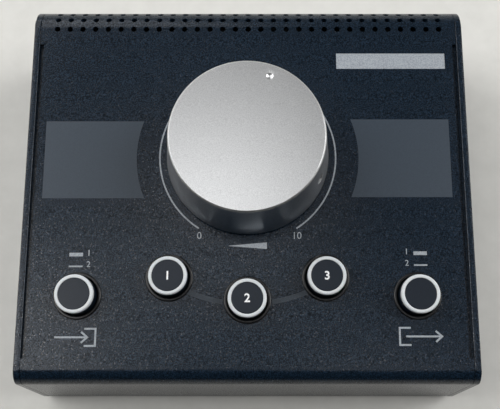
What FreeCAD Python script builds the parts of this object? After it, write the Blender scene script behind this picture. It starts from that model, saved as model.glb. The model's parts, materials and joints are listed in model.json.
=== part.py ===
"""Desktop studio monitor controller: a wedge-shaped steel case with a big volume knob,
five round push buttons and eight 6.35 mm jack sockets.

World frame: +X to the right, +Y to the rear, +Z up. The origin is on the table, under the
middle of the whole depth. Panel frame: origin where the knob's axis meets the top face of
the panel, x to the right, y up the slope to the rear, z along the panel's normal.
"""
import FreeCAD
import Part
import Sketcher
import math
import os
import re
from FreeCAD import Placement, Rotation, Vector

doc = FreeCAD.newDocument("monitor_controller")
sheet = doc.addObject("Spreadsheet::Sheet", "Sizes")

# Every size is in millimetres and every angle in degrees.
SIZES = [
    ("case_width", 150.0, "over the side plates"),
    ("case_depth", 134.6, "front face to rear face"),
    ("case_height", 42.0, "underside to the panel, at the knob's axis"),
    ("panel_slope", 3.0, "rise of the panel to the rear"),
    ("front_lean", 3.0, "front face from the vertical, its foot forward"),
    ("knob_setback", 77.3, "front face to the knob's axis"),
    ("front_radius", 5.0, "bend from the panel into the front"),
    ("rear_radius", 10.0, "bend from the panel into the rear"),
    ("sheet_gauge", 1.2, "steel of the cover and the base plate"),
    ("side_gauge", 2.2, "steel of the side plates"),
    ("seam", 0.15, "hairline between the cover and a side plate"),
    ("slot_width", 1.4, "dark slot between the panel and a side plate"),
    ("slot_from_front", 9.6, "front face to the slot's front end, along the panel"),
    ("slot_from_rear", 16.3, "rear face to the slot's rear end, along the panel"),
    ("stand_height", 2.4, "table to the base plate, the height of a foot"),
    ("base_inset", 0.8, "step of the base plate behind the front and rear faces"),
    ("flange_reach", 10.0, "width of the inward flanges at the bottom"),
    ("flange_side", 15.0, "side to an end of the cover's and the rear panel's flanges"),
    ("rear_lip", 0.4, "the cover's edge below its rear bend"),
    ("side_flange_from_front", 15.0, "front face to a side plate's flange"),
    ("side_flange_from_rear", 30.0, "rear face to a side plate's flange"),
    ("vent_radius", 1.0, "holes along the rear bend"),
    ("vent_side", 5.705, "side of the cover to the end hole of a row"),
    ("vent_count", 31, "holes in a row, evenly spread"),
    ("vent_row_pitch", 3.95, "row to row along the surface"),
    ("vent_rows", 3, "rows of holes"),
    ("foot_radius", 6.0, "rubber foot"),
    ("foot_inset_x", 15.0, "side to a foot's centre"),
    ("foot_inset_y", 14.0, "front or rear face to a foot's centre"),
    ("screw_radius", 1.5, "case screw"),
    ("screw_head_radius", 2.8, "case screw's pan head"),
    ("screw_head_height", 1.5, "case screw's pan head"),
    ("screw_tip", 1.0, "case screw's tip past the side flange"),
    ("screw_hole_play", 0.2, "case screw in the base plate"),
    ("thread_play", 0.05, "a screw or bushing in its thread"),
    ("side_screw_front", 30.0, "front face to the front screw of a side plate"),
    ("side_screw_rear", 45.0, "rear face to the rear screw of a side plate"),
    ("cover_screw_side", 45.0, "side to a screw of the cover or of the rear panel"),
    ("knob_top_radius", 24.4, "flat top face of the knob"),
    ("knob_chamfer", 0.45, "edge round the knob's top face"),
    ("knob_base_radius", 27.2, "foot of the knob's tapered side"),
    ("knob_base_chamfer", 0.3, "edge round the knob's foot"),
    ("knob_gap", 1.07, "panel to the knob's foot"),
    ("knob_top", 21.55, "panel to the knob's top face"),
    ("knob_recess_radius", 9.0, "recess over the nut"),
    ("knob_rest_angle", 20.3, "pointer at rest, clockwise of twelve o'clock"),
    ("dimple_radius", 1.1, "pointer dimple in the knob's top face"),
    ("dimple_depth", 0.45, "pointer dimple"),
    ("dimple_offset", 20.66, "knob's axis to the dimple"),
    ("hub_radius", 6.5, "brass hub in the knob"),
    ("hub_foot", 3.4, "panel to the hub's foot"),
    ("hub_top", 17.0, "panel to the hub's top"),
    ("hub_play", 0.02, "hub in the knob, and shaft in the hub"),
    ("set_screw_radius", 2.0, "set screw that grips the shaft"),
    ("set_screw_length", 8.0, "set screw"),
    ("set_screw_height", 11.0, "panel to the set screw's axis"),
    ("set_screw_angle", -24.8, "set screw at rest, anticlockwise of the x axis"),
    ("shaft_radius", 3.0, "control shaft"),
    ("shaft_top", 15.2, "panel to the shaft's end"),
    ("shaft_foot", 6.0, "panel down to the shaft's foot in the can"),
    ("shaft_play", 0.05, "shaft in its bushing"),
    ("bushing_radius", 3.5, "threaded bushing of the control"),
    ("bushing_top", 6.0, "panel to the bushing's end"),
    ("bushing_hole_play", 0.2, "bushing in the panel"),
    ("bushing_to_hub", 0.5, "clearance of the hub round and over the bushing"),
    ("pot_radius", 8.5, "can of the control"),
    ("pot_height", 12.0, "can of the control"),
    ("pot_pin_pitch", 5.0, "terminal to terminal"),
    ("pot_pin_rows", 6.0, "row to row of terminals"),
    ("pot_pin_width", 1.0, "terminal"),
    ("pot_washer_radius", 6.2, "washer under the nut"),
    ("pot_washer_height", 0.5, "washer under the nut"),
    ("pot_nut_flats", 10.0, "nut across its flats"),
    ("pot_nut_height", 2.0, "nut"),
    ("button_circle", 48.85, "knob's axis to the mono, mute and dim buttons"),
    ("button_angle", 31.6, "mute to the mono or dim button, about the knob's axis"),
    ("select_side", 19.6, "side to the source or monitor button"),
    ("select_y", 47.5, "knob's axis forward to the source or monitor button"),
    ("cap_radius", 6.27, "button cap and its ring"),
    ("cap_top", 5.5, "panel to the cap's face"),
    ("cap_skirt", 3.6, "panel down to the cap's skirt"),
    ("cap_wall", 1.05, "skirt of the cap"),
    ("cap_web", 2.9, "thickness of the cap under its face"),
    ("cap_boss_wall", 1.3, "boss that holds the plunger"),
    ("ring_width", 1.12, "white ring round the cap"),
    ("ring_height", 1.6, "white ring"),
    ("ring_edge", 0.3, "outer edge of the white ring"),
    ("ring_play", 0.02, "ring on the cap"),
    ("collar_radius", 7.81, "black collar's lip"),
    ("collar_lip", 0.7, "height of the collar's lip"),
    ("collar_edge", 0.28, "edge of the collar's lip"),
    ("collar_sleeve", 0.5, "wall of the collar's sleeve"),
    ("collar_depth", 4.0, "panel down to the sleeve's foot"),
    ("collar_hole_play", 0.1, "sleeve in the panel"),
    ("cap_play", 0.48, "cap in its collar"),
    ("plunger_radius", 1.5, "plunger of a switch"),
    ("plunger_play", 0.05, "plunger in its switch and its cap"),
    ("plunger_top", 2.0, "panel to the plunger's end"),
    ("button_travel", 3.0, "full press of a button"),
    ("switch_width", 8.5, "square housing of a switch"),
    ("switch_clearance", 2.2, "pressed cap to the switch's housing"),
    ("switch_engagement", 3.7, "plunger inside its housing at rest"),
    ("switch_floor", 0.7, "pressed plunger to the board"),
    ("board_gauge", 1.6, "circuit boards"),
    ("main_board_width", 124.0, "main board"),
    ("main_board_front", 62.0, "knob's axis forward to the main board's edge"),
    ("main_board_margin", 5.5, "main board behind its header"),
    ("standoff_radius", 2.5, "standoff under the panel"),
    ("standoff_front_x", 40.0, "middle to a front standoff"),
    ("standoff_front_y", 57.0, "knob's axis forward to a front standoff"),
    ("standoff_rear_x", 56.0, "middle to a rear standoff"),
    ("standoff_inset", 6.0, "main board's rear edge to a rear standoff"),
    ("board_screw_radius", 1.25, "board screw"),
    ("board_screw_length", 6.0, "board screw inside its standoff"),
    ("board_screw_head", 1.6, "height of a board screw's head"),
    ("jack_bore_radius", 3.25, "socket for a 6.35 mm plug"),
    ("jack_bore_depth", 20.2, "socket"),
    ("jack_bushing_radius", 4.5, "threaded bushing of a socket"),
    ("jack_reach", 3.0, "rear face to the bushing's end"),
    ("jack_hole_play", 0.2, "bushing in the rear wall"),
    ("jack_width", 15.0, "square housing of a socket"),
    ("jack_length", 22.0, "housing of a socket"),
    ("jack_side", 28.5, "side to the outer column of sockets, evenly spread"),
    ("jack_floor_gap", 0.6, "lower row's housings over the cover's flange"),
    ("jack_bend_gap", 0.5, "upper row's housings under the start of the rear bend"),
    ("jack_washer_radius", 7.0, "washer of a socket"),
    ("jack_washer_height", 0.5, "washer of a socket"),
    ("jack_nut_flats", 12.0, "nut across its flats"),
    ("jack_nut_height", 2.0, "nut of a socket"),
    ("jack_board_side", 17.0, "side to an end of the board behind the sockets"),
    ("jack_board_margin", 0.5, "board above and below the sockets' housings"),
    ("header_width", 22.0, "header of the ribbon cable"),
    ("header_gauge", 5.0, "header across its pins"),
    ("header_height", 6.0, "header off its board"),
    ("ribbon_width", 18.0, "ribbon cable"),
    ("ribbon_gauge", 1.0, "ribbon cable"),
    ("ribbon_bend", 4.5, "bend of the ribbon cable at its middle"),
    ("ribbon_drop", 3.0, "straight of the ribbon cable under its header"),
    ("ribbon_reach", 6.2, "straight of the ribbon cable to the sockets' board"),
    ("ribbon_gap", 0.3, "ribbon cable to a header's face"),
]
for row, (alias, value, note) in enumerate(SIZES, start=1):
    sheet.set("A%d" % row, alias)
    sheet.set("B%d" % row, str(value))
    sheet.setAlias("B%d" % row, alias)
    sheet.set("C%d" % row, note)
doc.recompute()

ALIASES = {alias for alias, value, note in SIZES}


def bound(text):
    """The formula with each size's name pointed at its cell."""
    return re.sub(r"[a-z_]+", lambda word: "Sizes." + word.group() if word.group() in ALIASES
                  else word.group(), str(text))


def number(text):
    """The formula's present value."""
    found = sheet.evalExpression(bound(text))
    return float(getattr(found, "Value", found))


def bind(thing, **formulas):
    """Tie properties to formulas; a double underscore stands for a dot."""
    for path, text in formulas.items():
        thing.setExpression(path.replace("__", "."), bound(text))


# Places that many pieces share.
SLOPE = "(panel_slope * 1deg)"
FRONT_Y = "(-(case_depth + jack_reach) / 2)"
REAR_Y = "((case_depth - jack_reach) / 2)"
KNOB_Y = "((knob_setback - (case_depth + jack_reach) / 2))"
KNOB_Z = "(stand_height + case_height)"
BASE_TOP = "(stand_height + sheet_gauge)"
COVER_HALF = "(case_width / 2 - side_gauge - seam)"
SWITCH_TOP = "(-(cap_skirt + button_travel + switch_clearance))"
PLUNGER_FOOT = "(-(cap_skirt + button_travel + switch_clearance + switch_engagement))"
BOARD_TOP = "(-(cap_skirt + button_travel * 2 + switch_clearance + switch_engagement + switch_floor))"
BOARD_FOOT = "(%s - board_gauge)" % BOARD_TOP
WALL_Y = "(%s - sheet_gauge)" % REAR_Y
JACK_BOARD_Y = "(%s - jack_length)" % WALL_Y
JACK_PITCH = "((case_width / 2 - jack_side) / 1.5)"
VENT_PITCH = "((%s - vent_side) * 2 / (vent_count - 1))" % COVER_HALF

# The ribbon cable goes from the sockets' board to a header under the main board, which ends
# a little behind that header.
HEADER_FACE = "(%s - board_gauge - header_height)" % JACK_BOARD_Y
DROP_Y = "(%s - ribbon_gap - ribbon_reach - ribbon_bend)" % HEADER_FACE
HEADER_Y = "((%s - %s - (header_height - %s) * sin%s) / cos%s)" % (
    DROP_Y, KNOB_Y, BOARD_FOOT, SLOPE, SLOPE)
BOARD_REAR = "(%s + header_gauge / 2 + main_board_margin)" % HEADER_Y


def move(thing, x="0", y="0", z="0"):
    """Place a piece in the world frame."""
    bind(thing, Placement__Base__x=x, Placement__Base__y=y, Placement__Base__z=z)
    return thing


def on_panel(thing, x="0", y="0"):
    """Place a piece made about its own panel-frame origin at (x, y) on the panel."""
    thing.Placement = Placement(Vector(0, 0, 0), Rotation(Vector(1, 0, 0), 1))
    bind(thing,
         Placement__Base__x=x,
         Placement__Base__y="%s + (%s) * cos%s" % (KNOB_Y, y, SLOPE),
         Placement__Base__z="%s + (%s) * sin%s" % (KNOB_Z, y, SLOPE),
         Placement__Rotation__Angle="panel_slope")
    return thing


def box(name, x, y, z):
    """A box between the pairs of formulas (low, high) along each axis."""
    block = doc.addObject("Part::Box", name)
    bind(block, Length="(%s) - (%s)" % (x[1], x[0]), Width="(%s) - (%s)" % (y[1], y[0]),
         Height="(%s) - (%s)" % (z[1], z[0]))
    return move(block, x[0], y[0], z[0])


def cylinder(name, radius, low, high, x="0", y="0"):
    """An upright cylinder from low to high, with its axis at (x, y)."""
    round_bar = doc.addObject("Part::Cylinder", name)
    bind(round_bar, Radius=radius, Height="(%s) - (%s)" % (high, low))
    return move(round_bar, x, y, low)


def rear_cylinder(name, radius, low, high, x="0", z="0"):
    """A cylinder along +Y from low to high, with its axis at (x, z)."""
    round_bar = doc.addObject("Part::Cylinder", name)
    round_bar.Placement = Placement(Vector(0, 0, 0), Rotation(Vector(1, 0, 0), -90))
    bind(round_bar, Radius=radius, Height="(%s) - (%s)" % (high, low))
    return move(round_bar, x, low, z)


def hexagon(name, flats, low, high):
    """An upright hexagonal bar from low to high."""
    bar = doc.addObject("Part::Prism", name)
    bar.Polygon = 6
    bind(bar, Circumradius="(%s) / 2 / cos(30deg)" % flats, Height="(%s) - (%s)" % (high, low))
    return move(bar, z=low)


def fuse(name, pieces):
    joined = doc.addObject("Part::MultiFuse", name)
    joined.Shapes = pieces
    return joined


def bundle(name, pieces):
    """Separate pieces kept together, or one piece given a placement of its own."""
    together = doc.addObject("Part::Compound", name)
    together.Links = pieces
    return together


def cut(name, piece, tools):
    """The piece without its tools."""
    result = doc.addObject("Part::Cut", name)
    result.Base = piece
    result.Tool = tools[0] if len(tools) == 1 else bundle(name + "_tools", tools)
    return result


def group(name, piece, places):
    """Copies of one piece at the formulas (x, y, z), as separate solids of one node."""
    copies = []
    for index, (x, y, z) in enumerate(places):
        copy = doc.addObject("App::Link", "%s_%d" % (name, index + 1))
        copy.LinkedObject = piece
        copies.append(move(copy, x, y, z))
    return bundle(name, copies)


def outline(body, role, points):
    """A closed sketch of straight sides, each corner tied to its formulas (x, y)."""
    sketch = body.newObject("Sketcher::SketchObject", body.Name + "_outline")
    plane = [item for item in body.Origin.OriginFeatures if item.Role == role][0]
    sketch.AttachmentSupport = (plane, "")
    sketch.MapMode = "FlatFace"
    corners = [Vector(number(x), number(y), 0) for x, y in points]
    for index, corner in enumerate(corners):
        sketch.addGeometry(Part.LineSegment(corner, corners[(index + 1) % len(corners)]), False)
    for index in range(len(corners)):
        sketch.addConstraint(
            Sketcher.Constraint("Coincident", index, 2, (index + 1) % len(corners), 1))
    for index, (x, y) in enumerate(points):
        for kind, axis, text, at in (("DistanceX", -2, x, corners[index].x),
                                     ("DistanceY", -1, y, corners[index].y)):
            if text == "0":
                sketch.addConstraint(Sketcher.Constraint("PointOnObject", index, 1, axis))
                continue
            constraint = sketch.addConstraint(Sketcher.Constraint(kind, -1, 1, index, 1, at))
            bind(sketch, **{"Constraints[%d]" % constraint: text})
    return sketch


def turned(name, points):
    """A body turned about its z axis from the corners (radius, height)."""
    body = doc.addObject("PartDesign::Body", name)
    sketch = outline(body, "XZ_Plane", points)
    turn = body.newObject("PartDesign::Revolution", name + "_turn")
    turn.Profile = sketch
    turn.ReferenceAxis = (sketch, ["V_Axis"])
    turn.Angle = 360
    body.Tip = turn
    return body


def top_height(y, inset):
    """Height of the panel's surface, or of the surface the inset below it, at depth y."""
    return "(%s + (%s - %s) * tan%s - (%s) / cos%s)" % (KNOB_Z, y, KNOB_Y, SLOPE, inset, SLOPE)


def case_block(name, inset, foot, width):
    """The case's side outline, an inset inside the outer faces, carried across the width.
    The front face leans back from its foot."""
    body = doc.addObject("PartDesign::Body", name)
    lean = "%s + (%s) / cos(front_lean * 1deg) + (%s - stand_height) * tan(front_lean * 1deg)"
    front = "(%s)" % lean % (FRONT_Y, inset, foot)
    brow = "((%s) / (1 - tan(front_lean * 1deg) * tan%s))" % (
        lean % (FRONT_Y, inset, top_height("0", inset)), SLOPE)
    rear = "(%s - %s)" % (REAR_Y, inset)
    corners = [(front, foot), (rear, foot), (rear, top_height(rear, inset)),
               (brow, top_height(brow, inset))]
    pad = body.newObject("PartDesign::Pad", name + "_pad")
    pad.Profile = outline(body, "YZ_Plane", corners)
    pad.SideType = "Symmetric"
    bind(pad, Length=width)
    doc.recompute()
    for end, radius in ((brow, "front_radius - " + inset), (rear, "rear_radius - " + inset)):
        base = body.Tip
        fillet = body.newObject("PartDesign::Fillet", name + "_bend")
        fillet.Base = (base, [top_edge(base.Shape, number(end))])
        bind(fillet, Radius=radius)
        body.Tip = fillet
        doc.recompute()
    return body


def top_edge(shape, y):
    """Name of the highest edge across the width at depth y."""
    best = None
    for index, edge in enumerate(shape.Edges, start=1):
        ends = [vertex.Point for vertex in edge.Vertexes]
        if len(ends) == 2 and all(abs(point.y - y) < 0.001 for point in ends):
            if abs(ends[0].z - ends[1].z) < 0.001 and (best is None or ends[0].z > best[0]):
                best = (ends[0].z, "Edge%d" % index)
    return best[1]


nodes = []


def keep(name, piece):
    """Name a finished sub-part."""
    piece.Label = name
    nodes.append(piece)
    return piece


# Case screws: four in the side plates, two in the cover and two in the rear panel.
side_x = "(case_width / 2 - side_gauge - flange_reach / 2)"
cover_x = "(case_width / 2 - cover_screw_side)"
case_screws = []
for side in ("", "-"):
    case_screws.append((side + side_x, "%s + side_screw_front" % FRONT_Y))
    case_screws.append((side + side_x, "%s - side_screw_rear" % REAR_Y))
    case_screws.append((side + cover_x, "%s + sheet_gauge + flange_reach / 2" % FRONT_Y))
    case_screws.append((side + cover_x, "%s - sheet_gauge - flange_reach / 2" % REAR_Y))
base_screw = turned("base_screw", [
    ("0", "stand_height - screw_head_height"),
    ("screw_head_radius", "stand_height - screw_head_height"),
    ("screw_head_radius", "stand_height"),
    ("screw_radius", "stand_height"),
    ("screw_radius", BASE_TOP + " + side_gauge + screw_tip"),
    ("0", BASE_TOP + " + side_gauge + screw_tip")])
keep("base_screws", group("base_screws", base_screw, [(x, y, "0") for x, y in case_screws]))


def screw_holes(name, places, radius):
    return [cylinder("%s_%d" % (name, index), radius, "0", "stand_height * 2 + side_gauge * 3",
                     x, y) for index, (x, y) in enumerate(places)]


# Base plate between the side plates.
base_sheet = box("base_sheet",
                 ("-%s" % COVER_HALF, COVER_HALF),
                 (FRONT_Y + " + base_inset", REAR_Y + " - base_inset"),
                 ("stand_height", BASE_TOP))
keep("base_plate", cut("base_plate", base_sheet,
                       screw_holes("base_hole", case_screws, "screw_radius + screw_hole_play")))

# Rubber feet, glued to the base plate.
foot = cylinder("foot", "foot_radius", "0", "stand_height")
foot_x = "(case_width / 2 - foot_inset_x)"
foot_places = []
for side in ("", "-"):
    foot_places.append((side + foot_x, FRONT_Y + " + foot_inset_y", "0"))
    foot_places.append((side + foot_x, REAR_Y + " - foot_inset_y", "0"))
keep("rubber_feet", group("rubber_feet", foot, foot_places))

# Top cover: one sheet bent down into the front, with a flange at its foot, and over the
# rear bend. The flat rear panel closes the case below the bend.
rear_seam = "(%s - rear_radius / tan(45deg - panel_slope * 0.5deg) - rear_lip)" % (
    top_height(REAR_Y, "0"))
cover_block = case_block("cover_block", "0", BASE_TOP, "2 * " + COVER_HALF)
cover_hollow = case_block("cover_hollow", "sheet_gauge", BASE_TOP + " - sheet_gauge",
                          "case_width")
cover_shell = cut("cover_shell", cover_block, [cover_hollow])
flange_x = ("-(case_width / 2 - flange_side)", "case_width / 2 - flange_side")
flange_z = (BASE_TOP, BASE_TOP + " + sheet_gauge")
front_flange = box("front_flange", flange_x,
                   (FRONT_Y + " + sheet_gauge / 2", FRONT_Y + " + sheet_gauge + flange_reach"),
                   flange_z)
rear_opening = box("rear_opening", ("-case_width / 2", "case_width / 2"),
                   (REAR_Y + " - sheet_gauge * 2", REAR_Y + " + sheet_gauge"),
                   ("0", rear_seam))
cover_blank = fuse("cover_blank", [cut("cover_bends", cover_shell, [rear_opening]), front_flange])

select_x = "(case_width / 2 - select_side)"
BUTTONS = [
    ("source", "-" + select_x, "-select_y"),
    ("mono", "-button_circle * sin(button_angle * 1deg)",
     "-button_circle * cos(button_angle * 1deg)"),
    ("mute", "0", "-button_circle"),
    ("dim", "button_circle * sin(button_angle * 1deg)",
     "-button_circle * cos(button_angle * 1deg)"),
    ("monitor", select_x, "-select_y"),
]
panel_low = "-sheet_gauge * 2"
panel_holes = [cylinder("bushing_hole", "bushing_radius + bushing_hole_play", panel_low,
                        "sheet_gauge")]
for name, x, y in BUTTONS:
    panel_holes.append(cylinder(
        name + "_hole", "cap_radius + cap_play + collar_sleeve + collar_hole_play",
        panel_low, "sheet_gauge", x, y))
slot_y = ("slot_from_front - knob_setback", "case_depth - knob_setback - slot_from_rear")
for side in ("left", "right"):
    if side == "left":
        slot_x = ("-case_width / 2", "-(%s - slot_width)" % COVER_HALF)
    else:
        slot_x = ("%s - slot_width" % COVER_HALF, "case_width / 2")
    panel_holes.append(box(side + "_slot", slot_x, slot_y, (panel_low, "sheet_gauge")))


def vent_drills():
    """One drill for each vent hole, square to the surface: the first row stands where the
    rear bend starts, and the others follow along the bend."""
    radius = number("rear_radius")
    rim_y = number("(case_depth - knob_setback) / cos%s" % SLOPE)
    bend_y = rim_y - radius / math.cos(math.radians(number("panel_slope")))
    bend_y -= radius * math.tan(math.radians(number("panel_slope")))
    drills = []
    for row in range(int(number("vent_rows"))):
        turn = number("vent_row_pitch") * row / radius
        normal = Vector(0, math.sin(turn), math.cos(turn))
        centre = Vector(0, bend_y, -radius) + normal * (radius - number("sheet_gauge") * 3)
        for column in range(int(number("vent_count"))):
            centre.x = number(VENT_PITCH) * (column - (number("vent_count") - 1) / 2)
            drills.append(Part.makeCylinder(number("vent_radius"), number("sheet_gauge") * 5,
                                            centre, normal))
    return Part.makeCompound(drills)


vents = doc.addObject("Part::Feature", "vents")
vents.Shape = vent_drills()
panel_tools = on_panel(bundle("panel_tools", panel_holes + [vents]))

# The inner face of the rear wall is flat from the flange up to the start of the bend.
jack_row_low = "(%s + sheet_gauge + jack_floor_gap + jack_width / 2)" % BASE_TOP
wall_top = "(%s - (rear_radius - sheet_gauge) / tan(45deg - panel_slope * 0.5deg))" % (
    top_height("(%s - sheet_gauge)" % REAR_Y, "sheet_gauge"))
jack_row_high = "(%s - jack_bend_gap - jack_width / 2)" % wall_top
JACKS = []
for column, (channel, end) in enumerate((("source_a", "left"), ("source_a", "right"),
                                         ("source_b", "left"), ("source_b", "right"))):
    JACKS.append(("%s_%s_jack" % (channel, end), "%s * %s" % (JACK_PITCH, column - 1.5),
                  jack_row_high))
for column, (channel, end) in enumerate((("monitor_a", "left"), ("monitor_a", "right"),
                                         ("monitor_b", "left"), ("monitor_b", "right"))):
    JACKS.append(("%s_%s_jack" % (channel, end), "%s * %s" % (JACK_PITCH, column - 1.5),
                  jack_row_low))
jack_holes = [rear_cylinder(name + "_hole", "jack_bushing_radius + jack_hole_play",
                            REAR_Y + " - sheet_gauge * 2", REAR_Y + " + sheet_gauge", x, z)
              for name, x, z in JACKS]
flange_screws = [place for place in case_screws if cover_x in place[0]]
front_screws = [place for place in flange_screws if place[1].startswith(FRONT_Y)]
rear_screws = [place for place in flange_screws if place[1].startswith(REAR_Y)]
flange_thread = "screw_radius + thread_play"
keep("top_cover", cut("top_cover", cover_blank,
                      [panel_tools] + screw_holes("cover_hole", front_screws, flange_thread)))

# Rear panel, flush with the cover, with its own flange on the base plate.
rear_sheet = box("rear_sheet", ("-" + COVER_HALF, COVER_HALF),
                 (REAR_Y + " - sheet_gauge", REAR_Y), (BASE_TOP, rear_seam + " - seam"))
rear_flange = box("rear_flange", flange_x,
                  (REAR_Y + " - sheet_gauge - flange_reach", REAR_Y + " - sheet_gauge / 2"),
                  flange_z)
keep("rear_panel", cut("rear_panel", fuse("rear_blank", [rear_sheet, rear_flange]),
                       jack_holes + screw_holes("rear_hole", rear_screws, flange_thread)))

# Side plates: the case's outline in thick steel, with a flange on the base plate.
right_sheet = case_block("right_sheet", "0", "stand_height", "side_gauge")
move(right_sheet, x="case_width / 2 - side_gauge / 2")
side_flange = box("side_flange",
                  ("case_width / 2 - side_gauge - flange_reach",
                   "case_width / 2 - side_gauge / 2"),
                  (FRONT_Y + " + side_flange_from_front", REAR_Y + " - side_flange_from_rear"),
                  (BASE_TOP, BASE_TOP + " + side_gauge"))
right_screws = [place for place in case_screws if place[0] == side_x]
right_plate = cut("right_side_plate", fuse("right_blank", [right_sheet, side_flange]),
                  screw_holes("side_hole", right_screws, flange_thread))
left_plate = doc.addObject("Part::Mirroring", "left_side_plate")
left_plate.Source = right_plate
left_plate.Base = Vector(0, 0, 0)
left_plate.Normal = Vector(1, 0, 0)
keep("right_side_plate", right_plate)
keep("left_side_plate", left_plate)

# Volume knob: turned aluminium over a brass hub, gripped on the shaft by a set screw.
knob_turning = turned("knob_turning", [
    ("knob_recess_radius", "knob_gap"),
    ("knob_base_radius - knob_base_chamfer", "knob_gap"),
    ("knob_base_radius", "knob_gap + knob_base_chamfer"),
    ("knob_top_radius + knob_chamfer", "knob_top - knob_chamfer"),
    ("knob_top_radius", "knob_top"),
    ("0", "knob_top"),
    ("0", "hub_top"),
    ("hub_radius + hub_play", "hub_top"),
    ("hub_radius + hub_play", "hub_foot"),
    ("knob_recess_radius", "hub_foot")])
dimple = doc.addObject("Part::Sphere", "dimple")
ball = "((dimple_radius ^ 2 + dimple_depth ^ 2) / (2 * dimple_depth))"
bind(dimple, Radius=ball)
move(dimple, "dimple_offset * sin(knob_rest_angle * 1deg)",
     "dimple_offset * cos(knob_rest_angle * 1deg)", "knob_top - dimple_depth + " + ball)


def radial_bar(name, radius, start, end):
    """A bar that points out from the knob's axis at the set screw's place."""
    bar = doc.addObject("Part::Cylinder", name)
    bind(bar, Radius=radius, Height="(%s) - (%s)" % (end, start))
    turn = Rotation(Vector(0, 0, 1), number("set_screw_angle"))
    bar.Placement = Placement(Vector(0, 0, 0), turn * Rotation(Vector(0, 1, 0), 90))
    return move(bar, "(%s) * cos(set_screw_angle * 1deg)" % start,
                "(%s) * sin(set_screw_angle * 1deg)" % start, "set_screw_height")


screw_start = "shaft_radius + shaft_play"
knob_hole = radial_bar("knob_hole", "set_screw_radius + thread_play", screw_start,
                       "knob_base_radius * 1.5")
hub_hole = radial_bar("hub_hole", "set_screw_radius + thread_play", "shaft_radius / 2",
                      "knob_base_radius")
keep("volume_knob", on_panel(cut("volume_knob", knob_turning, [dimple, knob_hole])))
hub_turning = turned("hub_turning", [
    ("bushing_radius + bushing_to_hub", "hub_foot"),
    ("hub_radius", "hub_foot"),
    ("hub_radius", "hub_top"),
    ("0", "hub_top"),
    ("0", "shaft_top + bushing_to_hub"),
    ("shaft_radius + hub_play", "shaft_top + bushing_to_hub"),
    ("shaft_radius + hub_play", "bushing_top + bushing_to_hub"),
    ("bushing_radius + bushing_to_hub", "bushing_top + bushing_to_hub")])
keep("knob_hub", on_panel(cut("knob_hub", hub_turning, [hub_hole])))
set_screw = radial_bar("set_screw", "set_screw_radius", screw_start,
                       screw_start + " + set_screw_length")
keep("knob_set_screw", on_panel(bundle("knob_set_screw", [set_screw])))

# Volume control under the panel.
keep("pot_shaft", on_panel(turned("pot_shaft", [
    ("0", "-shaft_foot"), ("shaft_radius", "-shaft_foot"), ("shaft_radius", "shaft_top"),
    ("0", "shaft_top")])))
keep("pot_bushing", on_panel(turned("pot_bushing", [
    ("shaft_radius + shaft_play", "-sheet_gauge"), ("bushing_radius", "-sheet_gauge"),
    ("bushing_radius", "bushing_top"), ("shaft_radius + shaft_play", "bushing_top")])))
pot_foot = "-sheet_gauge - pot_height"
keep("pot_body", on_panel(turned("pot_body", [
    ("0", pot_foot), ("pot_radius", pot_foot), ("pot_radius", "-sheet_gauge"),
    ("shaft_radius + shaft_play", "-sheet_gauge"),
    ("shaft_radius + shaft_play", "-shaft_foot - shaft_play"),
    ("0", "-shaft_foot - shaft_play")])))
keep("pot_washer", on_panel(turned("pot_washer", [
    ("bushing_radius + thread_play", "0"), ("pot_washer_radius", "0"),
    ("pot_washer_radius", "pot_washer_height"),
    ("bushing_radius + thread_play", "pot_washer_height")])))
nut_top = "pot_washer_height + pot_nut_height"
pot_nut = cut("pot_nut", hexagon("pot_nut_bar", "pot_nut_flats", "pot_washer_height", nut_top),
              [cylinder("pot_nut_bore", "bushing_radius + thread_play", "0", nut_top + " + 1")])
keep("pot_nut", on_panel(pot_nut))
pot_pins = []
for column in (-1, 0, 1):
    for line in (-0.5, 0.5):
        middle_x = "pot_pin_pitch * %d" % column
        middle_y = "pot_pin_rows * %s" % line
        pot_pins.append(box("pot_pin",
                            (middle_x + " - pot_pin_width / 2", middle_x + " + pot_pin_width / 2"),
                            (middle_y + " - pot_pin_width / 2", middle_y + " + pot_pin_width / 2"),
                            (BOARD_TOP, pot_foot)))
keep("pot_terminals", on_panel(bundle("pot_terminals", pot_pins)))

# Five push buttons, alike: cap, white ring, collar, and a switch on the main board.
ring_inner = "(cap_radius - ring_width)"
bore = "(plunger_radius + plunger_play)"
cap_corners = [
    ("0", "plunger_top + plunger_play"),
    (bore, "plunger_top + plunger_play"),
    (bore, "-cap_skirt"),
    (bore + " + cap_boss_wall", "-cap_skirt"),
    (bore + " + cap_boss_wall", "cap_top - cap_web"),
    ("cap_radius - cap_wall", "cap_top - cap_web"),
    ("cap_radius - cap_wall", "-cap_skirt"),
    ("cap_radius", "-cap_skirt"),
    ("cap_radius", "cap_top - ring_height"),
    (ring_inner + " - ring_play", "cap_top - ring_height"),
    (ring_inner + " - ring_play", "cap_top"),
    ("0", "cap_top")]
ring_corners = [
    (ring_inner, "cap_top - ring_height"),
    ("cap_radius", "cap_top - ring_height"),
    ("cap_radius", "cap_top - ring_edge"),
    ("cap_radius - ring_edge", "cap_top"),
    (ring_inner, "cap_top")]
collar_inner = "(cap_radius + cap_play)"
collar_corners = [
    (collar_inner, "-collar_depth"),
    (collar_inner + " + collar_sleeve", "-collar_depth"),
    (collar_inner + " + collar_sleeve", "0"),
    ("collar_radius", "0"),
    ("collar_radius", "collar_lip - collar_edge"),
    ("collar_radius - collar_edge", "collar_lip"),
    (collar_inner, "collar_lip")]
plunger_corners = [
    ("0", PLUNGER_FOOT), ("plunger_radius", PLUNGER_FOOT),
    ("plunger_radius", "plunger_top"), ("0", "plunger_top")]
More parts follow.
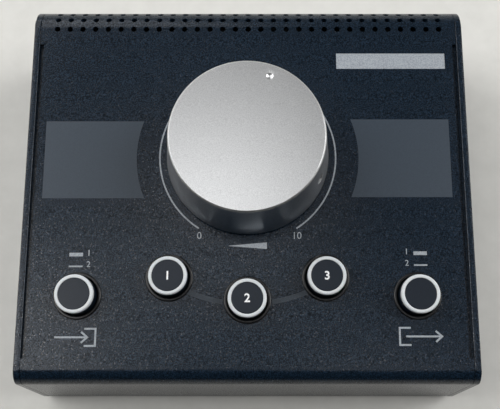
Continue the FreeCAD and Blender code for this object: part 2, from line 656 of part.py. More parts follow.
for name, x, y in BUTTONS:
    keep(name + "_button_cap", on_panel(turned(name + "_button_cap", cap_corners), x, y))
    keep(name + "_button_ring", on_panel(turned(name + "_button_ring", ring_corners), x, y))
    keep(name + "_switch_plunger",
         on_panel(turned(name + "_switch_plunger", plunger_corners), x, y))
    keep(name + "_button_collar",
         on_panel(turned(name + "_button_collar", collar_corners), x, y))
    housing = box(name + "_housing", ("-switch_width / 2", "switch_width / 2"),
                  ("-switch_width / 2", "switch_width / 2"), (BOARD_TOP, SWITCH_TOP))
    well = cylinder(name + "_well", bore, "%s - button_travel - switch_floor / 2" % PLUNGER_FOOT,
                    SWITCH_TOP + " + 1")
    keep(name + "_switch_body", on_panel(cut(name + "_switch_body", housing, [well]), x, y))

# Main board, hung from the panel on four standoffs.
standoffs = []
for side in ("", "-"):
    standoffs.append((side + "standoff_front_x", "-standoff_front_y", "0"))
    standoffs.append((side + "standoff_rear_x", "%s - standoff_inset" % BOARD_REAR, "0"))
board_blank = box("board_blank", ("-main_board_width / 2", "main_board_width / 2"),
                  ("-main_board_front", BOARD_REAR), (BOARD_FOOT, BOARD_TOP))
board_holes = [cylinder("board_hole", "board_screw_radius + screw_hole_play",
                        BOARD_FOOT + " - 1", BOARD_TOP + " + 1", x, y)
               for x, y, z in standoffs]
keep("main_board", on_panel(cut("main_board", board_blank, board_holes)))
thread_top = BOARD_TOP + " + board_screw_length"
standoff = turned("standoff", [
    ("board_screw_radius + thread_play", BOARD_TOP),
    ("standoff_radius", BOARD_TOP),
    ("standoff_radius", "-sheet_gauge"),
    ("0", "-sheet_gauge"),
    ("0", thread_top + " + thread_play"),
    ("board_screw_radius + thread_play", thread_top + " + thread_play")])
keep("board_standoffs", on_panel(group("board_standoffs", standoff, standoffs)))
board_screw = turned("board_screw", [
    ("0", BOARD_FOOT + " - board_screw_head"),
    ("standoff_radius", BOARD_FOOT + " - board_screw_head"),
    ("standoff_radius", BOARD_FOOT),
    ("board_screw_radius", BOARD_FOOT),
    ("board_screw_radius", thread_top),
    ("0", thread_top)])
keep("board_screws", on_panel(group("board_screws", board_screw, standoffs)))

# Eight sockets in two rows through the rear wall, with their washers and nuts.
mouth_y = REAR_Y + " + jack_reach"
for name, x, z in JACKS:
    housing = box(name + "_housing", (x + " - jack_width / 2", x + " + jack_width / 2"),
                  (JACK_BOARD_Y, WALL_Y),
                  (z + " - jack_width / 2", z + " + jack_width / 2"))
    bushing = rear_cylinder(name + "_bushing", "jack_bushing_radius",
                            WALL_Y + " - jack_hole_play", mouth_y, x, z)
    socket = rear_cylinder(name + "_socket", "jack_bore_radius",
                           mouth_y + " - jack_bore_depth", mouth_y + " + 1", x, z)
    keep(name, cut(name, fuse(name + "_blank", [housing, bushing]), [socket]))
jack_play = "jack_bushing_radius + thread_play"
jack_washer = cut("jack_washer",
                  rear_cylinder("washer_disc", "jack_washer_radius", "0", "jack_washer_height"),
                  [rear_cylinder("washer_bore", jack_play, "-1", "jack_washer_height + 1")])
nut_bar = hexagon("nut_bar", "jack_nut_flats", "0", "jack_nut_height")
nut_bar.Placement = Placement(Vector(0, 0, 0), Rotation(Vector(1, 0, 0), -90))
jack_nut = cut("jack_nut", nut_bar,
               [rear_cylinder("nut_bore", jack_play, "-1", "jack_nut_height + 1")])
keep("jack_washers", group("jack_washers", jack_washer,
                           [(x, REAR_Y, z) for name, x, z in JACKS]))
keep("jack_nuts", group("jack_nuts", jack_nut,
                        [(x, REAR_Y + " + jack_washer_height", z) for name, x, z in JACKS]))
jack_board_x = "(case_width / 2 - jack_board_side)"
keep("jack_board", bundle("jack_board", [box(
    "jack_board_blank", ("-" + jack_board_x, jack_board_x),
    (JACK_BOARD_Y + " - board_gauge", JACK_BOARD_Y),
    (jack_row_low + " - jack_width / 2 - jack_board_margin",
     jack_row_high + " + jack_width / 2 + jack_board_margin"))]))

# Ribbon cable between the two boards, with a header at each end.
header_x = ("-header_width / 2", "header_width / 2")
main_header = on_panel(bundle("main_header", [box(
    "main_header_blank", header_x,
    (HEADER_Y + " - header_gauge / 2", HEADER_Y + " + header_gauge / 2"),
    (BOARD_FOOT + " - header_height", BOARD_FOOT))]))
drop_top = "(%s + %s * sin%s - (header_height - %s) * cos%s - ribbon_gap)" % (
    KNOB_Z, HEADER_Y, SLOPE, BOARD_FOOT, SLOPE)
run_z = "(%s - ribbon_drop - ribbon_bend)" % drop_top
jack_header = box("jack_header", header_x,
                  (HEADER_FACE, JACK_BOARD_Y + " - board_gauge"),
                  (run_z + " - header_gauge / 2", run_z + " + header_gauge / 2"))
keep("ribbon_headers", bundle("ribbon_headers", [main_header, jack_header]))
ribbon_x = ("-ribbon_width / 2", "ribbon_width / 2")
ribbon_fall = box("ribbon_fall", ribbon_x,
                  (DROP_Y + " - ribbon_gauge / 2", DROP_Y + " + ribbon_gauge / 2"),
                  (drop_top + " - ribbon_drop", drop_top))
ribbon_run = box("ribbon_run", ribbon_x,
                 (DROP_Y + " + ribbon_bend", HEADER_FACE + " - ribbon_gap"),
                 (run_z + " - ribbon_gauge / 2", run_z + " + ribbon_gauge / 2"))


def ribbon_quarter(name, radius):
    """A quarter of a bar along X, between the ribbon's fall and its run."""
    quarter = doc.addObject("Part::Cylinder", name)
    quarter.Placement.Rotation = Rotation(Vector(0, 1, 0), Vector(0, 0, -1), Vector(1, 0, 0))
    bind(quarter, Radius=radius, Height="ribbon_width")
    return move(quarter, "-ribbon_width / 2", DROP_Y + " + ribbon_bend",
                drop_top + " - ribbon_drop")


bend_outer = ribbon_quarter("bend_outer", "ribbon_bend + ribbon_gauge / 2")
bend_inner = ribbon_quarter("bend_inner", "ribbon_bend - ribbon_gauge / 2")
bend_room = box("bend_room", ribbon_x,
                (DROP_Y + " - ribbon_bend", DROP_Y + " + ribbon_bend"),
                (run_z + " - ribbon_bend", drop_top + " - ribbon_drop"))
bend_ring = cut("bend_ring", bend_outer, [bend_inner])
ribbon_turn = doc.addObject("Part::Common", "ribbon_turn")
ribbon_turn.Base = bend_ring
ribbon_turn.Tool = bend_room
keep("ribbon_cable", fuse("ribbon_cable", [ribbon_fall, ribbon_turn, ribbon_run]))

doc.recompute()
for item in doc.Objects:
    if "Invalid" in item.State or "Error" in item.State:
        raise RuntimeError("%s failed: %s" % (item.Label, item.State))
for piece in nodes:
    if piece.Shape.isNull() or not piece.Shape.isValid() or not piece.Shape.Solids:
        raise RuntimeError("%s has no valid solid" % piece.Label)

os.makedirs("parts", exist_ok=True)
for piece in nodes:
    piece.Shape.exportStep("parts/%s.step" % piece.Label)
print("%d nodes written" % len(nodes))
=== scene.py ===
"""Looks of the desktop monitor controller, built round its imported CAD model.

The CAD nodes keep their shapes and get a broken edge, smooth bends and their real finishes.
What the CAD leaves out is made here: the screen printed marks on the panel and the caps, and
the side plates' folded edges under the two long slots.
All lengths in this file are millimetres until they go into a mesh, which is in metres.
"""
import json
import math

import bmesh
import bpy
import numpy as np
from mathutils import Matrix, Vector


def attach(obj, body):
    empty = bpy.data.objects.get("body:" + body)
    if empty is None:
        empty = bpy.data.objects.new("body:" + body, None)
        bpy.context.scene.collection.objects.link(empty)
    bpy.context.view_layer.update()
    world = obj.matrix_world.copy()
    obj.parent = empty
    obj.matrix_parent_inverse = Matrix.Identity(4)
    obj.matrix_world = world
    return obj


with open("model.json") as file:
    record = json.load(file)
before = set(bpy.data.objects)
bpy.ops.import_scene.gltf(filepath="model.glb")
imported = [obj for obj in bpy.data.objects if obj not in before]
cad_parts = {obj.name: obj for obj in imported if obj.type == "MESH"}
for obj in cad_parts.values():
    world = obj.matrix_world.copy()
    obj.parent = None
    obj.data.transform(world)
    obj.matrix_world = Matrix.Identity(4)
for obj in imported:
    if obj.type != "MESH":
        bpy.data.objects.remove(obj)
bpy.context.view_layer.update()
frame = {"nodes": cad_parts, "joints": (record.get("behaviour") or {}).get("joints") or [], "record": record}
nodes = frame["nodes"]

# ---------------------------------------------------------------- the panel's own frame
# x to the right, y up the slope to the rear, h along the panel's normal; the origin is
# where the knob's axis meets the panel, as the knob's joint says.
knob_turn = [joint for joint in frame["joints"] if joint["name"] == "volume_turn"][0]
PANEL_ORIGIN = np.array(knob_turn["pos_m"]) * 1000
PANEL_NORMAL = np.array(knob_turn["axis"]) / np.linalg.norm(knob_turn["axis"])
PANEL_X = np.array([1.0, 0.0, 0.0])
PANEL_Y = np.cross(PANEL_NORMAL, PANEL_X)
PANEL_AXES = np.stack([PANEL_X, PANEL_Y, PANEL_NORMAL])


def to_world(points):
    """Panel points (..., 3) in the world: origin + x X + y Y + h N."""
    return PANEL_ORIGIN + np.asarray(points, float) @ PANEL_AXES


def panel_extent(node):
    """Lowest and highest panel coordinates of a CAD node."""
    corners = np.empty(len(nodes[node].data.vertices) * 3)
    nodes[node].data.vertices.foreach_get("co", corners)
    local = (corners.reshape(-1, 3) * 1000 - PANEL_ORIGIN) @ PANEL_AXES.T
    return local.min(0), local.max(0)


# ---------------------------------------------------------------- materials
def linear(code):
    """The linear RGBA of an sRGB hex colour."""
    parts = np.array([int(code[i:i + 2], 16) for i in (1, 3, 5)]) / 255
    parts = np.where(parts <= 0.04045, parts / 12.92, ((parts + 0.055) / 1.055) ** 2.4)
    return (*parts.tolist(), 1.0)


def per_mm(size):
    """Noise scale that gives features of this size in millimetres on metre coordinates."""
    return 1000.0 / size


def add(tree, kind, links, **settings):
    """Add a shader node: settings are its properties, links its inputs, by name or number,
    each a socket to join or a value to set."""
    made = tree.nodes.new("ShaderNode" + kind)
    for name, value in settings.items():
        setattr(made, name, value)
    for name, value in links.items():
        if isinstance(value, bpy.types.NodeSocket):
            tree.links.new(value, made.inputs[name])
        else:
            made.inputs[name].default_value = value
    return made


def finish(name, **surface):
    """A new material with one Principled surface; returns (material, tree, surface)."""
    material = bpy.data.materials.new(name)
    material.use_nodes = True
    tree = material.node_tree
    tree.nodes.clear()
    shader = add(tree, "BsdfPrincipled", {})
    for key, value in surface.items():
        shader.inputs["IOR" if key == "ior" else key.replace("_", " ").title()] \
            .default_value = value
    add(tree, "OutputMaterial", {"Surface": shader.outputs["BSDF"]})
    return material, tree, shader


def ramp(tree, source, stops):
    """A colour ramp of (position, hex colour or grey value) on a value."""
    made = add(tree, "ValToRGB", {"Fac": source})
    while len(made.color_ramp.elements) < len(stops):
        made.color_ramp.elements.new(1.0)
    for element, (place, shade) in zip(made.color_ramp.elements, stops):
        element.position = place
        element.color = linear(shade) if isinstance(shade, str) else (shade,) * 3 + (1.0,)
    return made.outputs["Color"]


def place_of(tree):
    """The piece's own coordinates, which are the CAD frame's, in metres."""
    return add(tree, "TexCoord", {}).outputs["Object"]


def powder_coat(name, dark, mid, light, roughness):
    """Fine-texture polyester powder coat, sprayed and baked on sheet steel.

    It gives the eye a blue-black skin with a fine grain, a third of a millimetre across, and
    sparse small glints about a millimetre apart where a grain mirrors a lamp."""
    material, tree, shader = finish(name, roughness=roughness, ior=1.5)
    place = place_of(tree)
    grain = add(tree, "TexNoise", {"Vector": place, "Scale": per_mm(0.36), "Detail": 1.0,
                                   "Roughness": 0.5})
    cells = add(tree, "TexVoronoi", {"Vector": place, "Scale": per_mm(0.95), "Randomness": 1.0})
    tint = ramp(tree, grain.outputs["Fac"], [(0.36, dark), (0.5, mid), (0.64, light)])
    tree.links.new(tint, shader.inputs["Base Color"])
    glint = add(tree, "MapRange", {"Value": cells.outputs["Distance"], "From Min": 0.12,
                                   "From Max": 0.22, "To Min": 0.85, "To Max": 0.0})
    gleam = add(tree, "MapRange", {"Value": grain.outputs["Fac"], "From Min": 0.35,
                                   "From Max": 0.58, "To Min": 0.10, "To Max": 0.48})
    both = add(tree, "Math", {0: glint.outputs["Result"], 1: gleam.outputs["Result"]})
    tree.links.new(both.outputs["Value"], shader.inputs["Specular IOR Level"])
    bump = add(tree, "Bump", {"Height": grain.outputs["Fac"], "Strength": 0.5,
                              "Distance": 0.00009})
    tree.links.new(bump.outputs["Normal"], shader.inputs["Normal"])
    return material


def blasted_aluminium(name):
    """Aluminium, turned, bead blasted and clear anodised.

    It gives a soft silver with a fine bright grain, 0.3 mm across."""
    material, tree, shader = finish(name, metallic=1.0, roughness=0.315)
    place = place_of(tree)
    grain = add(tree, "TexNoise", {"Vector": place, "Scale": per_mm(0.30), "Detail": 2.0,
                                   "Roughness": 0.7})
    tone = ramp(tree, grain.outputs["Fac"], [(0.30, "#c8c9ca"), (0.70, "#e9eaeb")])
    tree.links.new(tone, shader.inputs["Base Color"])
    bump = add(tree, "Bump", {"Height": grain.outputs["Fac"], "Strength": 0.03,
                              "Distance": 0.00003})
    tree.links.new(bump.outputs["Normal"], shader.inputs["Normal"])
    return material


def moulded(name, low, high, roughness, grain_mm=0.5, bump_strength=0.1, ior=1.5, **more):
    """Injection moulded plastic: an even colour with a slight spark-eroded mould texture,
    so highlights break up a little and flat faces aren't perfectly even."""
    material, tree, shader = finish(name, roughness=roughness, ior=ior, **more)
    place = place_of(tree)
    grain = add(tree, "TexNoise", {"Vector": place, "Scale": per_mm(grain_mm),
                                   "Detail": 2.0})
    tree.links.new(ramp(tree, grain.outputs["Fac"], [(0.3, low), (0.7, high)]),
                   shader.inputs["Base Color"])
    bump = add(tree, "Bump", {"Height": grain.outputs["Fac"], "Strength": bump_strength,
                              "Distance": 0.00003})
    tree.links.new(bump.outputs["Normal"], shader.inputs["Normal"])
    return material


def worked_metal(name, low, high, roughness, spread, grain_mm, bump_strength=0.2):
    """Turned, stamped or plated metal: a tone and a gloss that wander a little over the
    piece, with tool marks or plating grain as bump."""
    material, tree, shader = finish(name, metallic=1.0, roughness=roughness)
    place = place_of(tree)
    wander = add(tree, "TexNoise", {"Vector": place, "Scale": per_mm(3.0), "Detail": 3.0})
    grain = add(tree, "TexNoise", {"Vector": place, "Scale": per_mm(grain_mm),
                                   "Detail": 2.0})
    tree.links.new(ramp(tree, wander.outputs["Fac"], [(0.3, low), (0.7, high)]),
                   shader.inputs["Base Color"])
    gloss = add(tree, "MapRange", {"Value": wander.outputs["Fac"], "From Min": 0.3,
                                   "From Max": 0.7, "To Min": roughness - spread,
                                   "To Max": roughness + spread})
    tree.links.new(gloss.outputs["Result"], shader.inputs["Roughness"])
    bump = add(tree, "Bump", {"Height": grain.outputs["Fac"], "Strength": bump_strength,
                              "Distance": 0.00003})
    tree.links.new(bump.outputs["Normal"], shader.inputs["Normal"])
    return material


def screen_ink(name, thin, full, roughness=0.55):
    """Screen printing ink on the powder coat: it thins over the grains, so its tone is
    slightly uneven, and it is matter than the paint."""
    material, tree, shader = finish(name, roughness=roughness, ior=1.45)
    place = place_of(tree)
    cover = add(tree, "TexNoise", {"Vector": place, "Scale": per_mm(0.4), "Detail": 2.0})
    tree.links.new(ramp(tree, cover.outputs["Fac"], [(0.35, thin), (0.6, full)]),
                   shader.inputs["Base Color"])
    bump = add(tree, "Bump", {"Height": cover.outputs["Fac"], "Strength": 0.15,
                              "Distance": 0.00003})
    tree.links.new(bump.outputs["Normal"], shader.inputs["Normal"])
    return material


def solder_mask(name):
    """Green solder mask over etched copper on glass laminate: darker lanes of bare laminate
    run between the slightly raised copper."""
    material, tree, shader = finish(name, roughness=0.32, ior=1.5)
    place = place_of(tree)
    lanes = add(tree, "TexBrick", {"Vector": place, "Scale": 90.0, "Color1": linear("#0f4a2c"),
                                   "Color2": linear("#12552f"), "Mortar": linear("#0a3420"),
                                   "Mortar Size": 0.04})
    tree.links.new(lanes.outputs["Color"], shader.inputs["Base Color"])
    bump = add(tree, "Bump", {"Height": lanes.outputs["Fac"], "Strength": 0.3,
                              "Distance": 0.00005})
    tree.links.new(bump.outputs["Normal"], shader.inputs["Normal"])
    return material


COAT = ("#050c14", "#0d1822", "#182838", 0.22)     # dark, mid and light tone, roughness
FINISHES = {
    "case_paint": powder_coat("powder_coat_cover", *COAT),
    "side_paint": powder_coat("powder_coat_sides", *COAT),
    "knob_aluminium": blasted_aluminium("anodised_blasted_aluminium"),
    "hub_brass": worked_metal("turned_brass", "#a8873f", "#c9a95c", 0.30, 0.05, 0.2),
    "set_screw_steel": worked_metal("black_oxide_steel", "#3b3b3d", "#55565a", 0.42, 0.06,
                                    0.2),
    "shaft_steel": worked_metal("turned_steel", "#9fa1a3", "#bfc1c3", 0.28, 0.05, 0.15),
    "control_can": worked_metal("zinc_plated_can", "#9a9ca0", "#b8bbbf", 0.34, 0.06, 0.4),
    "plated_nut": worked_metal("nickel_plate", "#b3b0aa", "#cfccc6", 0.22, 0.05, 0.3, 0.1),
    "screw_steel": worked_metal("black_zinc_steel", "#26272a", "#3c3e42", 0.40, 0.06, 0.25),
    "cap_plastic": moulded("moulded_abs_slate", "#07111c", "#0b1825", 0.34, 0.35, 0.12,
                           ior=1.42),
    "ring_plastic": moulded("moulded_abs_white", "#c9cacb", "#d2d3d4", 0.38, 0.6, 0.05,
                            subsurface_weight=0.08),
    "collar_plastic": moulded("moulded_abs_black", "#07080a", "#0b0c0f", 0.26, 0.5, 0.05),
    "switch_plastic": moulded("moulded_nylon_black", "#121314", "#191a1c", 0.55, 0.4),
    "plunger_plastic": moulded("moulded_acetal", "#cfcfca", "#dcdcd7", 0.40, 0.6),
    "board_laminate": solder_mask("solder_mask_laminate"),
    "standoff_brass": worked_metal("milled_brass", "#a8873f", "#c4a257", 0.32, 0.05, 0.2),
    "ribbon_vinyl": moulded("extruded_vinyl", "#8a8c8e", "#9b9d9f", 0.50, 0.6),
    "header_plastic": moulded("moulded_nylon_header", "#0e0f11", "#15161a", 0.5, 0.4),
    "jack_plastic": moulded("moulded_nylon_socket", "#0c0d0f", "#141518", 0.45, 0.45, 0.15),
    "foot_rubber": moulded("moulded_rubber", "#131313", "#1c1c1c", 0.80, 0.7, 0.35),
}
SILVER_INK = screen_ink("silver_screen_ink", "#7f858c", "#9aa0a6")
SLATE_INK = screen_ink("slate_screen_ink", "#2a343f", "#2f3a45", 0.42)
GHOST_INK = screen_ink("grey_screen_ink", "#222a32", "#2f3841", 0.45)
WHITE_INK = screen_ink("white_screen_ink", "#d6d7d8", "#ececed", 0.5)


# ---------------------------------------------------------------- CAD nodes
def smooth_bends(angle):
    """A modifier's node group: every face smooth, and sharp edges over the angle."""
    group = bpy.data.node_groups.new("smooth_bends", "GeometryNodeTree")
    group.interface.new_socket("Geometry", in_out="INPUT", socket_type="NodeSocketGeometry")
    group.interface.new_socket("Geometry", in_out="OUTPUT", socket_type="NodeSocketGeometry")
    start = group.nodes.new("NodeGroupInput")
    end = group.nodes.new("NodeGroupOutput")
    faces = group.nodes.new("GeometryNodeSetShadeSmooth")
    faces.domain = "FACE"
    edges = group.nodes.new("GeometryNodeSetShadeSmooth")
    edges.domain = "EDGE"
    edges.inputs["Shade Smooth"].default_value = False
    bend = group.nodes.new("GeometryNodeInputMeshEdgeAngle")
    over = group.nodes.new("FunctionNodeCompare")
    over.data_type = "FLOAT"
    over.operation = "GREATER_THAN"
    over.inputs["B"].default_value = math.radians(angle)
    for source, target in (
            (start.outputs[0], faces.inputs["Geometry"]),
            (faces.outputs[0], edges.inputs["Geometry"]),
            (bend.outputs["Unsigned Angle"], over.inputs["A"]),
            (over.outputs["Result"], edges.inputs["Selection"]),
            (edges.outputs[0], end.inputs[0])):
        group.links.new(source, target)
    return group


SMOOTH_BENDS = smooth_bends(50)


def broken_edge(piece, width, segments=2):
    """Weld the loose triangles, break the edges by a width in millimetres, smooth the
    bends and keep the flats flat."""
    piece.modifiers.new("weld", "WELD").merge_threshold = 1e-7
    if width:
        edge = piece.modifiers.new("edge", "BEVEL")
        edge.width = width / 1000
        edge.segments = segments
        edge.limit_method = "ANGLE"
        edge.angle_limit = math.radians(35)
        edge.use_clamp_overlap = False
    smooth = piece.modifiers.new("smooth", "NODES")
    smooth.node_group = SMOOTH_BENDS
    flats = piece.modifiers.new("flats", "WEIGHTED_NORMAL")
    flats.keep_sharp = True
    flats.weight = 60


def paint(piece, material):
    """Give a piece one material."""
    piece.data.materials.clear()
    piece.data.materials.append(material)


EDGE_WIDTHS = {"case_paint": 0.14, "side_paint": 0.30, "knob_aluminium": 0.06,
               "cap_plastic": 0.15, "ring_plastic": 0.14, "collar_plastic": 0.1,
               "jack_plastic": 0.2, "plated_nut": 0.1, "foot_rubber": 0.35,
               "board_laminate": 0.06, "screw_steel": 0.1, "switch_plastic": 0.15,
               "header_plastic": 0.15}
for part in frame["record"]["subparts"]:
    slot_name = part["material_slot"]
    paint(nodes[part["node"]], FINISHES[slot_name])
    # The punched cover keeps the edges of the CAD: a bevel would pucker round its holes.
    broken_edge(nodes[part["node"]], 0.0 if part["node"] == "top_cover"
                else EDGE_WIDTHS.get(slot_name, 0.05))


# ---------------------------------------------------------------- new surfaces
def mesh_piece(name, points, faces, body, material):
    """A piece from world points in millimetres and faces, welded, turned outwards, with
    edges sharp over 30 degrees, riding on a body."""
    mesh = bpy.data.meshes.new(name)
    mesh.from_pydata((np.asarray(points) / 1000).tolist(), [], faces)
    work = bmesh.new()
    work.from_mesh(mesh)
    bmesh.ops.remove_doubles(work, verts=work.verts, dist=2e-7)
    bmesh.ops.dissolve_degenerate(work, edges=work.edges, dist=1e-8)
    bmesh.ops.recalc_face_normals(work, faces=work.faces)
    work.to_mesh(mesh)
    work.free()
    mesh.shade_smooth()
    mesh.set_sharp_from_angle(angle=math.radians(30))
    piece = bpy.data.objects.new(name, mesh)
    bpy.context.scene.collection.objects.link(piece)
    paint(piece, material)
    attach(piece, body)
    return piece


def strip(name, left, right, low, high, body, material, slot=None):
    """A thin flat body between two edge lines of equally many (x, y) points, from height
    low to high: a four-cornered profile carried from the first pair of points to the last,
    with its two ends shut."""
    left, right = np.asarray(left, float), np.asarray(right, float)
    lines = [np.column_stack([edge, np.full(len(edge), level)])
             for edge, level in ((left, low), (right, low), (right, high), (left, high))]
    rows = np.stack(lines, 1)
    count = len(rows)
    index = np.arange(count * 4).reshape(count, 4)
    ring = np.hstack([index, index[:, :1]])
    quads = np.stack([ring[:-1, :-1], ring[1:, :-1], ring[1:, 1:], ring[:-1, 1:]],
                     -1).reshape(-1, 4).tolist()
    faces = quads + [index[0].tolist(), index[-1, ::-1].tolist()]
    return mesh_piece(name, to_world(rows.reshape(-1, 3)), faces, body, material)


def arc_points(radius, start, end, count):
    """Points on a circle about the knob's axis, by clockwise degrees from twelve."""
    turn = np.radians(np.linspace(start, end, count))
    return np.column_stack([radius * np.sin(turn), radius * np.cos(turn)])


def stroke(points, width):
    """The two edge lines of a pen stroke of this width along points: each point moved to
    both sides along the mitre of its two runs."""
    points = np.asarray(points, float)
    runs = np.diff(points, axis=0)
    runs /= np.linalg.norm(runs, axis=1)[:, None]
    sides = np.column_stack([-runs[:, 1], runs[:, 0]])
    before, after = np.vstack([sides[:1], sides]), np.vstack([sides, sides[-1:]])
    mitre = before + after
    mitre /= (mitre * before).sum(1)[:, None]
    return points + mitre * width / 2, points - mitre * width / 2


INK = (-0.02, 0.03)      # from just inside the coat to its printed height


def printed_line(name, points, width):
    """A pen stroke printed on the panel in silver."""
    strip(name, *stroke(points, width), *INK, "case", SILVER_INK)


def printed_text(name, words, height, x, y, body="case", material=SILVER_INK, base=0.0,
                 weight=0.0):
    """Plain numerals printed with their middle at (x, y), on a face at height base above
    the panel: a filled font outline made a thin mesh, scaled to the height of its figures.
    The weight thickens the font's strokes."""
    curve = bpy.data.curves.new(name, "FONT")
    curve.body = words
    curve.align_x, curve.align_y = "CENTER", "CENTER"
    curve.extrude = 0.5
    curve.offset = weight
    holder = bpy.data.objects.new(name, curve)
    bpy.context.scene.collection.objects.link(holder)
    bpy.context.view_layer.update()
    mesh = bpy.data.meshes.new_from_object(holder)
    bpy.data.objects.remove(holder)
    flat = np.empty(len(mesh.vertices) * 3)
    mesh.vertices.foreach_get("co", flat)
    flat = flat.reshape(-1, 3)
    faces = [list(face.vertices) for face in mesh.polygons]
    bpy.data.meshes.remove(mesh)
    low, high = flat.min(0), flat.max(0)
    scale = height / (high[1] - low[1])
    local = np.column_stack([
        (flat[:, 0] - (low[0] + high[0]) / 2) * scale + x,
        (flat[:, 1] - (low[1] + high[1]) / 2) * scale + y,
        np.where(flat[:, 2] > 0, INK[1], INK[0]) + base])
    mesh_piece(name, to_world(local), faces, body, material)


# Volume scale: a fine line round the knob, with plain numbers at its ends.
strip("volume_scale_line", arc_points(29.99, -147, 147, 180),
      arc_points(29.49, -147, 147, 180), *INK, "case", SILVER_INK)
printed_text("volume_scale_low", "0", 2.3, -16.0, -27.35)
printed_text("volume_scale_high", "10", 2.3, 16.6, -27.35)
strip("volume_wedge_mark", [(-6.1, -30.8), (6.4, -29.7)], [(-6.1, -30.95), (6.4, -31.9)],
      *INK, "case", SILVER_INK)

# Two writing fields, each with one side curved round the knob: x = sqrt(radius^2 - y^2).
for label, front_y, rear_y, outer_x, radius in (("left", -14.6, 12.6, -68.8, 37.6),
                                                ("right", -14.2, 13.3, 68.6, 37.5)):
    side = np.linspace(front_y, rear_y, 40)
    edges = [np.column_stack([np.full(40, outer_x), side]), np.column_stack(
        [math.copysign(1.0, outer_x) * np.sqrt(radius ** 2 - side ** 2), side])]
    if label == "right":
        edges.reverse()
    strip(label + "_field", *edges, *INK, "case", SLATE_INK)

# The side plates' folded edges, which are seen through the long slots.
for label, near, far in (("left", -70.4, -72.85), ("right", 70.4, 72.85)):
    strip(label + "_slot_fold", [(near, -69.0), (near, 42.0)], [(far, -69.0), (far, 42.0)],
          -1.9, -1.3, "case", FINISHES["side_paint"], "side_paint")

# A grey band that joins the three round buttons.
for label, start, end in (("left", 189.3, 203.0), ("right", 157.0, 170.7)):
    strip(label + "_button_band", arc_points(50.95, start, end, 24),
          arc_points(49.35, start, end, 24), *INK, "case", GHOST_INK)

# Position marks over the two select buttons: a thick bar and a thin bar, numbered.
for label, low_x, high_x, text_x, lift in (("source", -58.7, -54.2, -52.25, 0.0),
                                           ("monitor", 54.7, 59.1, 52.4, 0.45)):
    for step, y, thick in ((1, -33.8, 1.2), (2, -37.75, 0.5)):
        printed_line("%s_mark_%d" % (label, step), [(low_x, y + lift), (high_x, y + lift)],
                     thick)
        printed_text("%s_number_%d" % (label, step), str(step), 1.9, text_x,
                     (-33.2 if step == 1 else -37.0) + lift)

# Under them, plain arrow marks: into a bracket for the source, out of one for the monitors.
MARK_PEN = 0.6
for label, middle, y, flip, start, tip in (("source", -55.2, -60.95, 1, -7.0, 3.6),
                                           ("monitor", 55.4, -60.65, -1, -4.2, 7.4)):
    printed_line(label + "_bracket", [(middle + flip * 2.6, y + 2.75),
                                      (middle + flip * 6.2, y + 2.75),
                                      (middle + flip * 6.2, y - 2.75),
                                      (middle + flip * 2.6, y - 2.75)], MARK_PEN)
    printed_line(label + "_arrow", [(middle + start, y), (middle + tip - 0.4, y)], MARK_PEN)
    printed_line(label + "_arrow_head", [(middle + tip - 2.0, y + 1.75), (middle + tip, y),
                                         (middle + tip - 2.0, y - 1.75)], MARK_PEN)

# A plain bar of ink at the top right.
strip("plain_bar", [(30.7, 37.6), (68.4, 37.6)], [(30.7, 31.9), (68.4, 31.9)], *INK, "case",
      SILVER_INK)

# Plain numerals on the three round buttons' caps.
for number, label in ((1, "mono"), (2, "mute"), (3, "dim")):
    low, high = panel_extent(label + "_button_cap")
    printed_text(label + "_cap_number", str(number), 2.8, (low[0] + high[0]) / 2,
                 (low[1] + high[1]) / 2, label + "_button", WHITE_INK, high[2], 0.02)


# ---------------------------------------------------------------- floor, light, camera
FLOOR_HALF, FLOOR_LINES = 6.0, 13        # half its side in metres, grid lines each way
line = np.linspace(-FLOOR_HALF, FLOOR_HALF, FLOOR_LINES)
floor_x, floor_y = np.meshgrid(line, line, indexing="ij")
corners = np.arange(FLOOR_LINES ** 2).reshape(FLOOR_LINES, FLOOR_LINES)
floor_mesh = bpy.data.meshes.new("floor")
floor_mesh.from_pydata(
    np.stack([floor_x, floor_y, np.zeros_like(floor_x)], -1).reshape(-1, 3).tolist(), [],
    np.stack([corners[:-1, :-1], corners[1:, :-1], corners[1:, 1:], corners[:-1, 1:]],
             -1).reshape(-1, 4).tolist())
floor = bpy.data.objects.new("floor", floor_mesh)
bpy.context.scene.collection.objects.link(floor)
laminate, tree, shader = finish("pale_desk_laminate", roughness=0.6, ior=1.45)
desk_cloud = add(tree, "TexNoise", {"Vector": place_of(tree), "Scale": per_mm(9.0),
                                    "Detail": 4.0, "Roughness": 0.6})
tree.links.new(ramp(tree, desk_cloud.outputs["Fac"], [(0.3, "#cccbc6"), (0.7, "#d3d2cd")]),
               shader.inputs["Base Color"])
paint(floor, laminate)

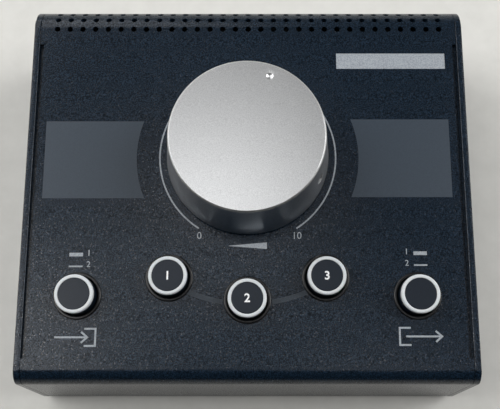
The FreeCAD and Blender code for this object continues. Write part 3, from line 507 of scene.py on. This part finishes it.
# The studio: bright low down and to the rear, dark above and in front, so that the panel's
# front bend, which mirrors the front, stays dark.
world = bpy.data.worlds.new("studio")
bpy.context.scene.world = world
world.use_nodes = True
sky = world.node_tree
sky.nodes.clear()
height = add(sky, "SeparateXYZ", {"Vector": add(sky, "TexCoord", {}).outputs["Generated"]})
shade = ramp(sky, height.outputs["Z"], [(0.0, 0.40), (0.06, 0.40), (0.30, 0.16), (0.8, 0.09),
                                        (1.0, 0.10)])
rear = add(sky, "MapRange", {"Value": height.outputs["Y"], "From Min": -0.6, "From Max": 0.5,
                             "To Min": 0.08, "To Max": 1.20})
background = add(sky, "Background", {"Color": shade, "Strength": rear.outputs["Result"]})
add(sky, "OutputWorld", {"Surface": background.outputs["Background"]})


def softbox(name, place, size, watts):
    """A white square area lamp at a place in metres, turned to the middle of the case."""
    lamp = bpy.data.lights.new(name, "AREA")
    lamp.shape = "SQUARE"
    lamp.size = size
    lamp.energy = watts
    holder = bpy.data.objects.new(name, lamp)
    holder.location = place
    holder.rotation_euler = (Vector((0, 0, 0.03)) - Vector(place)).to_track_quat("-Z", "Y") \
        .to_euler()
    bpy.context.scene.collection.objects.link(holder)


softbox("window_softbox", (-0.70, 1.30, 1.05), 1.20, 7.0)
softbox("side_softbox", (-1.1, 0.32, 0.95), 1.0, 13.5)
softbox("right_softbox", (1.1, 0.22, 0.90), 0.9, 15.5)
softbox("overhead_softbox", (-0.07, 0.19, 1.28), 0.34, 0.68)
softbox("left_softbox", (-0.54, -0.09, 1.28), 0.44, 2.3)
softbox("front_softbox", (0.24, -0.18, 1.28), 0.24, 0.42)

# The camera was fitted to the reference picture's measured edges.
camera_data = bpy.data.cameras.new("camera")
camera_data.sensor_width = 36.0
camera_data.lens = 54.03
camera_data.shift_x = -0.0133
camera_data.shift_y = 0.0804
camera = bpy.data.objects.new("camera", camera_data)
camera.location = (0.00301, PANEL_ORIGIN[1] / 1000 - 0.09340, 0.28261)
camera.rotation_euler = (math.radians(14.712), 0.0, 0.0)
camera_data.clip_start = 0.01
bpy.context.scene.collection.objects.link(camera)
bpy.context.scene.camera = camera
bpy.context.scene.view_settings.view_transform = "Standard"
